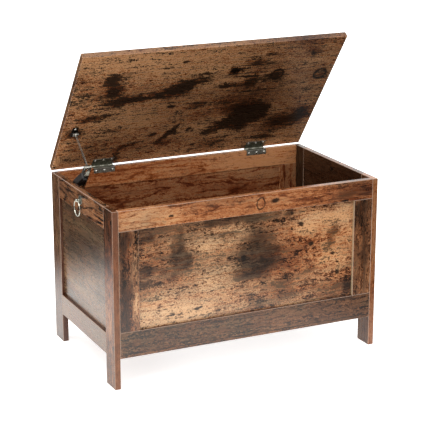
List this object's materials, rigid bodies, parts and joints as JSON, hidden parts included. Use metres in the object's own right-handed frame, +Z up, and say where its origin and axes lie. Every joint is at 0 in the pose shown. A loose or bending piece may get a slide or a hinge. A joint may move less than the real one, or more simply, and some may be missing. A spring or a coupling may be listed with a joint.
{
  "type": "storage chest",
  "caption": "Free-standing wooden storage chest with framed panels, a hinged lid held open by a folding stay, and a ring pull at each end.",
  "frame": {"origin": "middle of the floor plane under the bounding box, with the lid open by 53 degrees", "axes": "+X along the front from left to right, -Y out of the front, +Z up"},
  "size_m": [0.7874, 0.4536, 0.833],
  "materials": {
    "frame_wood": "brown wood-print foil on particle board, semi-gloss",
    "panel_wood": "brown wood-print foil on thin fibreboard, semi-gloss",
    "inside_wood": "darker brown wood-print foil, satin",
    "zinc_steel": "zinc-plated sheet and wire",
    "black_plastic": "moulded black plastic, satin"
  },
  "bodies": {
    "carcass": {"left_front_stile": "frame_wood", "left_back_stile": "frame_wood", "left_top_rail": "frame_wood", "left_bottom_rail": "frame_wood", "left_infill_panel": "panel_wood", "right_front_stile": "frame_wood", "right_back_stile": "frame_wood", "right_top_rail": "frame_wood", "right_bottom_rail": "frame_wood", "right_infill_panel": "panel_wood", "front_top_rail": "frame_wood", "front_bottom_rail": "frame_wood", "front_left_stile": "frame_wood", "front_right_stile": "frame_wood", "front_infill_panel": "panel_wood", "back_top_rail": "frame_wood", "back_bottom_rail": "frame_wood", "back_left_stile": "frame_wood", "back_right_stile": "frame_wood", "back_infill_panel": "panel_wood", "bottom_board": "inside_wood", "left_hinge_body_leaf": "zinc_steel", "left_hinge_pin": "zinc_steel", "left_hinge_body_screw_1": "zinc_steel", "left_hinge_body_screw_2": "zinc_steel", "left_hinge_body_screw_3": "zinc_steel", "right_hinge_body_leaf": "zinc_steel", "right_hinge_pin": "zinc_steel", "right_hinge_body_screw_1": "zinc_steel", "right_hinge_body_screw_2": "zinc_steel", "right_hinge_body_screw_3": "zinc_steel", "stay_base_plate": "zinc_steel", "stay_base_post": "zinc_steel", "stay_base_screw_1": "zinc_steel", "stay_base_screw_2": "zinc_steel", "left_handle_rose": "zinc_steel", "left_handle_eye_post": "zinc_steel", "left_handle_nut": "zinc_steel", "right_handle_rose": "zinc_steel", "right_handle_eye_post": "zinc_steel", "right_handle_nut": "zinc_steel"},
    "lid": {"lid": "frame_wood", "left_hinge_lid_leaf": "zinc_steel", "left_hinge_lid_screw_1": "zinc_steel", "left_hinge_lid_screw_2": "zinc_steel", "left_hinge_lid_screw_3": "zinc_steel", "right_hinge_lid_leaf": "zinc_steel", "right_hinge_lid_screw_1": "zinc_steel", "right_hinge_lid_screw_2": "zinc_steel", "right_hinge_lid_screw_3": "zinc_steel", "stay_lid_bracket": "zinc_steel", "stay_lid_pin": "zinc_steel", "stay_lid_screw_1": "zinc_steel", "stay_lid_screw_2": "zinc_steel"},
    "stay_lower_arm": {"stay_lower_arm": "zinc_steel", "stay_damper_housing": "black_plastic", "stay_elbow_pin": "zinc_steel"},
    "stay_upper_arm": {"stay_upper_arm": "zinc_steel"},
    "left_handle_ring": {"left_handle_ring": "zinc_steel"},
    "right_handle_ring": {"right_handle_ring": "zinc_steel"}
  },
  "joints": [
    {"name": "lid_hinge", "type": "hinge", "parent": "carcass", "child": "lid", "pos_m": [0, 0.21513, 0.4706], "axis": [-1, 0, 0], "range_deg": [-53, 27]},
    {"name": "stay_base_turn", "type": "hinge", "parent": "carcass", "child": "stay_lower_arm", "pos_m": [-0.344, 0.13113, 0.4006], "axis": [-1, 0, 0], "range_deg": [-54, 28]},
    {"name": "stay_elbow_turn", "type": "hinge", "parent": "stay_lower_arm", "child": "stay_upper_arm", "pos_m": [-0.344, 0.03006, 0.51977], "axis": [-1, 0, 0], "range_deg": [-28, 54]},
    {"name": "left_ring_swing", "type": "hinge", "parent": "carcass", "child": "left_handle_ring", "pos_m": [-0.3895, -0.00677, 0.446], "axis": [0, 1, 0], "range_deg": [-10, 190]},
    {"name": "right_ring_swing", "type": "hinge", "parent": "carcass", "child": "right_handle_ring", "pos_m": [0.3895, -0.00677, 0.446], "axis": [0, -1, 0], "range_deg": [-10, 190]}
  ],
  "couplings": [
    {"joint": "stay_base_turn", "follows": "lid_hinge", "ratio": 1},
    {"joint": "stay_elbow_turn", "follows": "lid_hinge", "ratio": -1}
  ]
}
